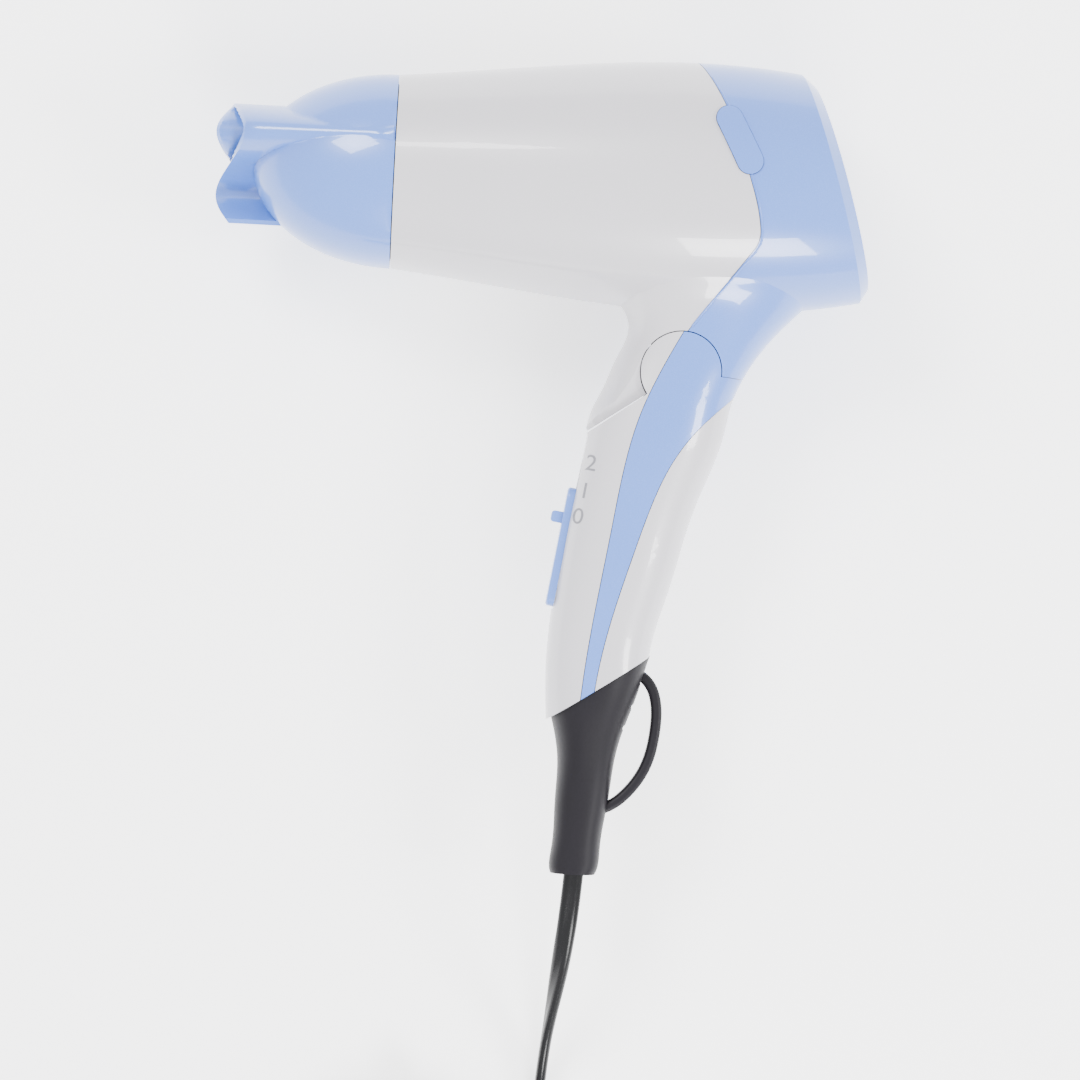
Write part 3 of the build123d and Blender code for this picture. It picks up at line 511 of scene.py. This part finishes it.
@dataclass
class Nozzle:
    """Concentrator: half an ellipsoid that a twisted flat duct runs out of, in millimetres."""

    length: float = 39.8
    radius: float = 27.2
    wall: float = 2.0
    base: float = -0.3
    half_height: float = 16.8
    swing: float = 12.5
    half_thick: float = 5.4
    skin: float = 1.0
    mouth: float = -46.0
    wave: float = 4.4
    root_peak: float = 27.4
    steps: int = 28
    stations: int = 12

    def dome(self, name: str, inset: float, base: float) -> bpy.types.Object:
        """Makes a half ellipsoid.

        Args:
            name: name of the object.
            inset: how much smaller it is than the outer dome.
            base: station of its flat side.

        Returns:
            The solid.
        """
        profile = [(base, 0.0)]
        for step in range(33):
            angle = math.pi / 2 * step / 32
            along = -(self.length - inset) * math.sin(angle)
            radius = (self.radius - inset) * math.cos(angle)
            if along < base:
                profile.append((along, max(radius, 0.0)))
            elif step == 0:
                profile.append((base, self.radius - inset))
        return lathe(name, profile)

    def edge(self, share: float, side: int, inset: float, root: float) -> tuple[float, float]:
        """Height and sideways place of the duct's wall.

        Args:
            share: place across the duct from -1 to 1.
            side: 1 for the wall that faces up, -1 for the other.
            inset: how far inside the outer wall.
            root: 0 at the mouth, 1 at the dome's base.

        Returns:
            Height and sideways distance in millimetres.
        """
        height = (self.half_height - inset) * share
        bow = math.sin(math.pi * height / self.half_height)
        slope = self.swing * math.pi / self.half_height * math.cos(math.pi * height / self.half_height)
        thick = (self.half_thick - inset * math.hypot(1, slope)) * math.sqrt(max(0.0, 1 - share**8))
        out = self.swing * bow + side * thick
        peak = self.swing + self.half_thick
        if side * bow > 0:
            out *= 1 + root * (self.root_peak / peak - 1)
        return height, out

    def duct(self, name: str, inset: float, front: float | None, back: float) -> bpy.types.Object:
        """Makes the solid of the S-shaped duct.

        Args:
            name: name of the object.
            inset: how far inside the outer wall it runs.
            front: station of a flat front, or None for the waved mouth.
            back: station of its back.

        Returns:
            The solid.
        """
        verts, faces = [], []
        row = self.steps + 1
        for station in range(self.stations + 1):
            root = station / self.stations
            for side in (1, -1):
                for step in range(row):
                    share = 2 * step / self.steps - 1
                    lip = self.mouth + self.wave * side * math.sin(math.pi * share)
                    start = lip if front is None else front
                    up, out = self.edge(share, side, inset, root if front is None else 0.0)
                    verts.append(spot(start + (back - start) * root, up, out))
        for station in range(self.stations):
            for side in (0, 1):
                first = (station * 2 + side) * row
                for step in range(self.steps):
                    corner = first + step
                    faces.append((corner, corner + 1, corner + 1 + 2 * row, corner + 2 * row))
        for first in (0, self.stations * 2 * row):
            for step in range(self.steps):
                corner = first + step
                faces.append((corner, corner + 1, corner + 1 + row, corner + row))
        return mesh_object(name, verts, faces)

    def build(self, paint: Paint) -> None:
        """Makes the nozzle in place of its plain solid.

        Args:
            paint: the dryer's materials.
        """
        nozzle = self.dome("nozzle_shell", 0.0, self.base)
        carve(nozzle, self.duct("duct_out", 0.0, None, self.base - 0.4), "UNION")
        carve(nozzle, self.dome("dome_in", self.wall, 1.0), "DIFFERENCE")
        carve(nozzle, self.duct("duct_in", self.skin, -60.0, -6.0), "DIFFERENCE")
        bevel = nozzle.modifiers.new("edge", "BEVEL")
        bevel.width = 0.35 * MM
        bevel.segments = 2
        bevel.limit_method = "ANGLE"
        bevel.angle_limit = math.radians(50)
        settle(nozzle)
        smooth(nozzle, 40)
        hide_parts("concentrator")
        dress(nozzle, paint.slot("pearl_blue"), "nozzle")


@dataclass
class Screen:
    """Fine woven guard over the inlet, in millimetres."""

    radius: float = 25.9
    bulge: float = 2.6
    wire: float = 0.28
    cells: int = 44

    def tree(self) -> bpy.types.NodeTree:
        """Builds the Geometry Nodes tree that turns the guard's grid into wires.

        Returns:
            The tree, with its wire radius, sides and material as inputs.
        """
        tree = bpy.data.node_groups.new("guard_wires", "GeometryNodeTree")
        tree.interface.new_socket("Geometry", in_out="INPUT", socket_type="NodeSocketGeometry")
        for name in ("Wire", "Sides"):
            kind = "NodeSocketFloat" if name == "Wire" else "NodeSocketInt"
            tree.interface.new_socket(name, in_out="INPUT", socket_type=kind)
        tree.interface.new_socket("Finish", in_out="INPUT", socket_type="NodeSocketMaterial")
        tree.interface.new_socket("Geometry", in_out="OUTPUT", socket_type="NodeSocketGeometry")
        nodes, link = tree.nodes, tree.links.new
        given, result = nodes.new("NodeGroupInput"), nodes.new("NodeGroupOutput")
        lines, ring = nodes.new("GeometryNodeMeshToCurve"), nodes.new("GeometryNodeCurvePrimitiveCircle")
        tube, real = nodes.new("GeometryNodeCurveToMesh"), nodes.new("GeometryNodeRealizeInstances")
        coat = nodes.new("GeometryNodeSetMaterial")
        link(given.outputs["Geometry"], lines.inputs["Mesh"])
        link(given.outputs["Wire"], ring.inputs["Radius"])
        link(given.outputs["Sides"], ring.inputs["Resolution"])
        link(lines.outputs["Curve"], tube.inputs["Curve"])
        link(ring.outputs["Curve"], tube.inputs["Profile Curve"])
        link(tube.outputs["Mesh"], real.inputs["Geometry"])
        link(real.outputs["Geometry"], coat.inputs["Geometry"])
        link(given.outputs["Finish"], coat.inputs["Material"])
        link(coat.outputs["Geometry"], result.inputs["Geometry"])
        return tree

    def build(self, paint: Paint) -> None:
        """Makes the guard in place of its plain disc.

        Args:
            paint: the dryer's materials.
        """
        low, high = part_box("inlet_screen")
        tilt = math.atan2(high.x - low.x - self.bulge * MM, high.y - low.y)
        out = Vector((math.cos(tilt), math.sin(tilt), 0))
        up = Vector((-math.sin(tilt), math.cos(tilt), 0))
        flat = Vector((0, 0, 1))
        middle = (low + high) / 2 - out * self.bulge * 0.62 * MM
        sphere = (self.radius**2 + self.bulge**2) / (2 * self.bulge)
        verts, edges, index = [], [], {}
        step = 2 * self.radius / self.cells
        for i in range(-self.cells // 2, self.cells // 2 + 1):
            for j in range(-self.cells // 2, self.cells // 2 + 1):
                x, y = i * step, j * step
                far = math.hypot(x, y)
                if far > self.radius:
                    continue
                rise = math.sqrt(sphere**2 - far**2) - sphere + self.bulge
                index[i, j] = len(verts)
                verts.append(middle + (up * x + flat * y + out * rise) * MM)
        for (i, j), first in index.items():
            for other in ((i + 1, j), (i, j + 1)):
                if other in index:
                    edges.append((first, index[other]))
        mesh = bpy.data.meshes.new("inlet_guard")
        mesh.from_pydata([tuple(v) for v in verts], edges, [])
        guard = bpy.data.objects.new("inlet_guard", mesh)
        bpy.context.scene.collection.objects.link(guard)
        modifier = guard.modifiers.new("wires", "NODES")
        modifier.node_group = self.tree()
        sockets = {item.name: item.identifier for item in modifier.node_group.interface.items_tree}
        modifier[sockets["Wire"]] = self.wire * MM
        modifier[sockets["Sides"]] = 5
        modifier[sockets["Finish"]] = paint.slot("screen_white")
        settle(guard)
        smooth(guard, 80)
        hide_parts("inlet_screen")
        dress(guard, paint.slot("screen_white"), "head")


@dataclass
class SeamBead:
    """Fine raised line beside the head's colour seam, in millimetres from the rim."""

    line: tuple[tuple[float, float], ...] = (
        (86.6, 29.5), (88.6, 25.8), (91.0, 21.4), (93.2, 16.4), (95.0, 11.6), (96.7, 6.4),
        (98.2, 1.5), (99.5, -2.6), (100.5, -6.4), (101.4, -10.0), (101.9, -13.0), (101.7, -16.4),
        (100.3, -19.0), (97.2, -22.8), (93.4, -27.8), (90.0, -32.2), (87.0, -36.2), (84.6, -39.6),
    )
    thick: float = 0.32

    def build(self, paint: Paint) -> None:
        """Lays a bead on both sides of the rear shell.

        Args:
            paint: the dryer's materials.
        """
        for side, name in ((1, "seam_bead_left"), (-1, "seam_bead_right")):
            path = drape(self.line, ["rear_shell", "front_shell"], side, 0.0)
            radius = self.thick * MM
            turns = [math.tau * corner / 8 for corner in range(8)]
            ring = [(radius * math.cos(turn), radius * math.sin(turn)) for turn in turns]
            bead = sweep(name, path, ring, lambda share, tangent: Vector((0, 0, 1)))
            smooth(bead, 60)
            dress(bead, paint.slot("pearl_blue"), "head")


@dataclass
class Digits:
    """Printed switch figures, in millimetres from the rim."""

    places: dict[str, tuple[float, float]] = field(
        default_factory=lambda: {"0": (55.9, -94.0), "1": (57.4, -86.8), "2": (58.8, -79.0)}
    )
    tall: float = 4.6
    tilt: float = -8.3
    sunk: float = 0.3
    proud: float = 0.07
    facet: float = 0.5

    def refine(self, mesh: bpy.types.Mesh) -> None:
        """Splits a figure's long edges, so that it follows the shell.

        Args:
            mesh: the flat figure.
        """
        body = bmesh.new()
        body.from_mesh(mesh)
        bmesh.ops.remove_doubles(body, verts=body.verts, dist=1e-7)
        for _ in range(3):
            bmesh.ops.triangulate(body, faces=body.faces)
            long = [edge for edge in body.edges if edge.calc_length() > self.facet * MM]
            bmesh.ops.subdivide_edges(body, edges=long, cuts=1)
        bmesh.ops.triangulate(body, faces=body.faces)
        body.to_mesh(mesh)
        body.free()

    def build(self, paint: Paint) -> None:
        """Lays each figure on the front shell.

        Args:
            paint: the dryer's materials.
        """
        for figure, (along, up) in self.places.items():
            text = bpy.data.curves.new(f"figure_{figure}", "FONT")
            text.body = figure
            text.size = self.tall * 1.38 * MM
            text.align_x = "CENTER"
            text.align_y = "CENTER"
            text.resolution_u = 6
            maker = bpy.data.objects.new(f"maker_{figure}", text)
            bpy.context.scene.collection.objects.link(maker)
            bpy.context.view_layer.update()
            graph = bpy.context.evaluated_depsgraph_get()
            mesh = bpy.data.meshes.new_from_object(maker.evaluated_get(graph))
            bpy.data.objects.remove(maker)
            mesh.transform(Matrix.Rotation(math.radians(self.tilt), 4, "Z"))
            self.refine(mesh)
            places = [((v.co.x / MM) + along, (v.co.y / MM) + up) for v in mesh.vertices]
            landed = drape(places, ["handle_front_shell"], 1, -self.sunk)
            if len(landed) != len(places):
                log.warning("figure %s runs off the shell", figure)
                continue
            for vertex, point in zip(mesh.vertices, landed):
                vertex.co = point
            body = bmesh.new()
            body.from_mesh(mesh)
            grown = bmesh.ops.extrude_face_region(body, geom=list(body.faces))
            moved = [part for part in grown["geom"] if isinstance(part, bmesh.types.BMVert)]
            bmesh.ops.translate(body, verts=moved, vec=Vector((0, 0, (self.sunk + self.proud) * MM)))
            bmesh.ops.recalc_face_normals(body, faces=body.faces)
            body.to_mesh(mesh)
            body.free()
            piece = bpy.data.objects.new(f"figure_{figure}", mesh)
            bpy.context.scene.collection.objects.link(piece)
            dress(piece, paint.of(DIGIT_GREY), "handle")


@dataclass
class Lead:
    """Flat twin flex from the boot to the plug, with its put-away coil, in metres."""

    wide: float = 0.0056
    thick: float = 0.0034
    length: float = 1.52
    exit_route: tuple[tuple[float, float, float], ...] = (
        (0.01743, -0.1145, 0.03527), (0.01683, -0.1255, 0.03347), (0.01563, -0.1385, 0.02667),
        (0.01423, -0.1515, 0.01707), (0.01283, -0.1645, 0.00847), (0.01183, -0.1775, 0.00387),
        (0.01113, -0.1925, 0.0028), (0.01083, -0.2085, 0.0028),
    )
    plug_route: tuple[tuple[float, float, float], ...] = (
        (-0.03437, -0.2613, 0.0085), (-0.04237, -0.2614, 0.0078), (-0.05037, -0.2617, 0.0075),
    )
    coil_middle: tuple[float, float] = (-0.02637, -0.2245)
    outer: float = 0.0372
    inner: float = 0.0247
    low: float = 0.0028
    high: float = 0.0085
    down_turns: float = 3.6
    climb_turns: float = 0.2
    up_turns: float = 3.45
    turn_points: int = 16
    twist_end: float = 0.045

    def coil_points(self) -> list[Vector]:
        """Works out the coil's turns: in along the bottom, up, and out along the top.

        Returns:
            Their control points.
        """
        points = []
        whole = self.down_turns + self.climb_turns + self.up_turns
        count = round(whole * self.turn_points)
        for step in range(count + 1):
            turn = whole * step / count
            if turn < self.down_turns:
                radius = self.outer + (self.inner - self.outer) * turn / self.down_turns
                height = self.low
            elif turn < self.down_turns + self.climb_turns:
                radius = self.inner
                height = self.low + (self.high - self.low) * (turn - self.down_turns) / self.climb_turns
            else:
                share = (turn - self.down_turns - self.climb_turns) / self.up_turns
                radius = self.inner + (self.outer - self.inner) * share
                height = self.high
            angle = -math.tau * turn
            x = self.coil_middle[0] + radius * math.cos(angle)
            points.append(Vector((x, self.coil_middle[1] + radius * math.sin(angle), height)))
        return points

    def line(self) -> list[Vector]:
        """Lays the lead's NURBS spline.

        Returns:
            Points close together along it.
        """
        route = [Vector(point) for point in self.exit_route] + self.coil_points()
        route += [Vector(point) for point in self.plug_route]
        curve = bpy.data.curves.new("lead_line", "CURVE")
        curve.dimensions = "3D"
        curve.resolution_u = 6
        spline = curve.splines.new("NURBS")
        spline.points.add(len(route) - 1)
        for control, point in zip(spline.points, route):
            control.co = (*point, 1.0)
        spline.order_u = 3
        spline.use_endpoint_u = True
        maker = bpy.data.objects.new("lead_line", curve)
        bpy.context.scene.collection.objects.link(maker)
        bpy.context.view_layer.update()
        graph = bpy.context.evaluated_depsgraph_get()
        mesh = bpy.data.meshes.new_from_object(maker.evaluated_get(graph))
        points = [vertex.co.copy() for vertex in mesh.vertices]
        bpy.data.objects.remove(maker)
        return points

    def section(self) -> list[tuple[float, float]]:
        """Draws the figure-eight section of the twin flex.

        Returns:
            Its points, across and through.
        """
        ring = []
        for step in range(20):
            angle = math.tau * step / 20
            cosine = math.cos(angle)
            waist = 1 - 0.22 * math.exp(-((cosine / 0.28) ** 2))
            through = math.copysign(abs(math.sin(angle)) ** 0.8, math.sin(angle)) * self.thick / 2 * waist
            ring.append((self.wide / 2 * cosine, through))
        return ring

    def build(self, paint: Paint) -> None:
        """Args:
            paint: the dryer's materials.
        """
        path = self.line()
        lengths = [0.0]
        for before, after in zip(path, path[1:]):
            lengths.append(lengths[-1] + (after - before).length)

        def wide(share: float, tangent: Vector) -> Vector:
            """Turns the width from level at the boot to upright along the coil.

            Args:
                share: place along the lead, from 0 to 1.
                tangent: the lead's direction there.

            Returns:
                Direction of the flex's width.
            """
            twist = min(1.0, share * lengths[-1] / self.twist_end)
            angle = math.pi / 2 * twist * twist * (3 - 2 * twist)
            level = Vector((0, 0, 1)).cross(tangent).normalized()
            return level * math.cos(angle) + Vector((0, 0, 1)) * math.sin(angle)

        cord = sweep("mains_flex", path, self.section(), wide)
        smooth(cord, 60)
        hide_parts("mains_cord", "cord_coil", "plug_lead")
        dress(cord, paint.slot("cord_black"), "handle")
        log.info("lead is %.3f m long", lengths[-1])


class CadNodes:
    """Pieces that keep their CAD shape."""

    def build(self, paint: Paint) -> None:
        """Gives each node the material of its slot.

        Args:
            paint: the dryer's materials.
        """
        for name, node in frame["nodes"].items():
            node.data.materials.clear()
            node.data.materials.append(paint.slot(SLOT_OF[name]))
            log.info("%s keeps its shape", name)


@dataclass
class Studio:
    """Pale floor, soft light and the camera."""

    look_at: tuple[float, float] = (45.9, -101.0)
    distance: float = 1.39
    lens: float = 165.0
    yaw: float = 1.25
    roll: float = 3.0
    glow: float = 1.1

    def camera(self) -> None:
        """Looks straight down on the dryer, a little from the nozzle's side."""
        data = bpy.data.cameras.new("camera")
        data.lens = self.lens
        data.sensor_width = 36.0
        camera = bpy.data.objects.new("camera", data)
        bpy.context.scene.collection.objects.link(camera)
        target = spot(*self.look_at)
        yaw, roll = math.radians(self.yaw), math.radians(self.roll)
        back = Vector((-math.sin(yaw), 0, math.cos(yaw)))
        right = Vector((math.cos(roll), math.sin(roll), 0))
        right = (right - back * right.dot(back)).normalized()
        up = back.cross(right)
        camera.matrix_world = Matrix((right, up, back)).transposed().to_4x4()
        camera.location = target + back * self.distance
        bpy.context.scene.camera = camera

    def floor(self) -> None:
        """Pale plain floor under the dryer."""
        corners = [Vector((x, y, -0.0002)) for x, y in ((-4, -4), (4, -4), (4, 4), (-4, 4))]
        floor = mesh_object("floor", corners, [(0, 1, 2, 3)])
        graph = Graph("floor")
        colour = graph.mix(graph.noise(3.0), (0.86, 0.86, 0.87), (0.88, 0.88, 0.89))
        shine = {"Emission Color": (1, 1, 1, 1), "Emission Strength": self.glow}
        values = {"Base Color": colour, "Roughness": 0.9, **shine}
        floor.data.materials.append(graph.finish(values))

    def light(self, name: str, where: Vector, size: float, power: float) -> None:
        """Sets a soft square light aimed at the dryer.

        Args:
            name: name of the light.
            where: its place.
            size: length of its side.
            power: its power in watts.
        """
        data = bpy.data.lights.new(name, "AREA")
        data.size = size
        data.energy = power
        lamp = bpy.data.objects.new(name, data)
        bpy.context.scene.collection.objects.link(lamp)
        lamp.location = where
        aim = spot(*self.look_at) - where
        lamp.rotation_mode = "QUATERNION"
        lamp.rotation_quaternion = aim.to_track_quat("-Z", "Y")

    def build(self) -> None:
        """Sets the camera, the floor, the sky and the lights."""
        self.camera()
        self.floor()
        world = bpy.data.worlds.new("studio")
        world.use_nodes = True
        world.node_tree.nodes["Background"].inputs["Color"].default_value = (1.0, 1.0, 1.0, 1.0)
        world.node_tree.nodes["Background"].inputs["Strength"].default_value = 2.3
        bpy.context.scene.world = world
        middle = spot(*self.look_at)
        self.light("key", middle + Vector((-0.7, 0.9, 1.3)), 0.6, 34)
        self.light("below", middle + Vector((0.3, -1.2, 0.8)), 0.5, 30)
        self.light("side", middle + Vector((1.1, -0.1, 0.9)), 0.35, 16)


def main() -> None:
    """Builds the dryer's pieces in order."""
    paint = Paint()
    studio = Studio()
    studio.build()
    Lead().build(paint)
    CadNodes().build(paint)
    Nozzle().build(paint)
    Screen().build(paint)
    SeamBead().build(paint)
    Digits().build(paint)


if __name__ == "__main__":
    main()
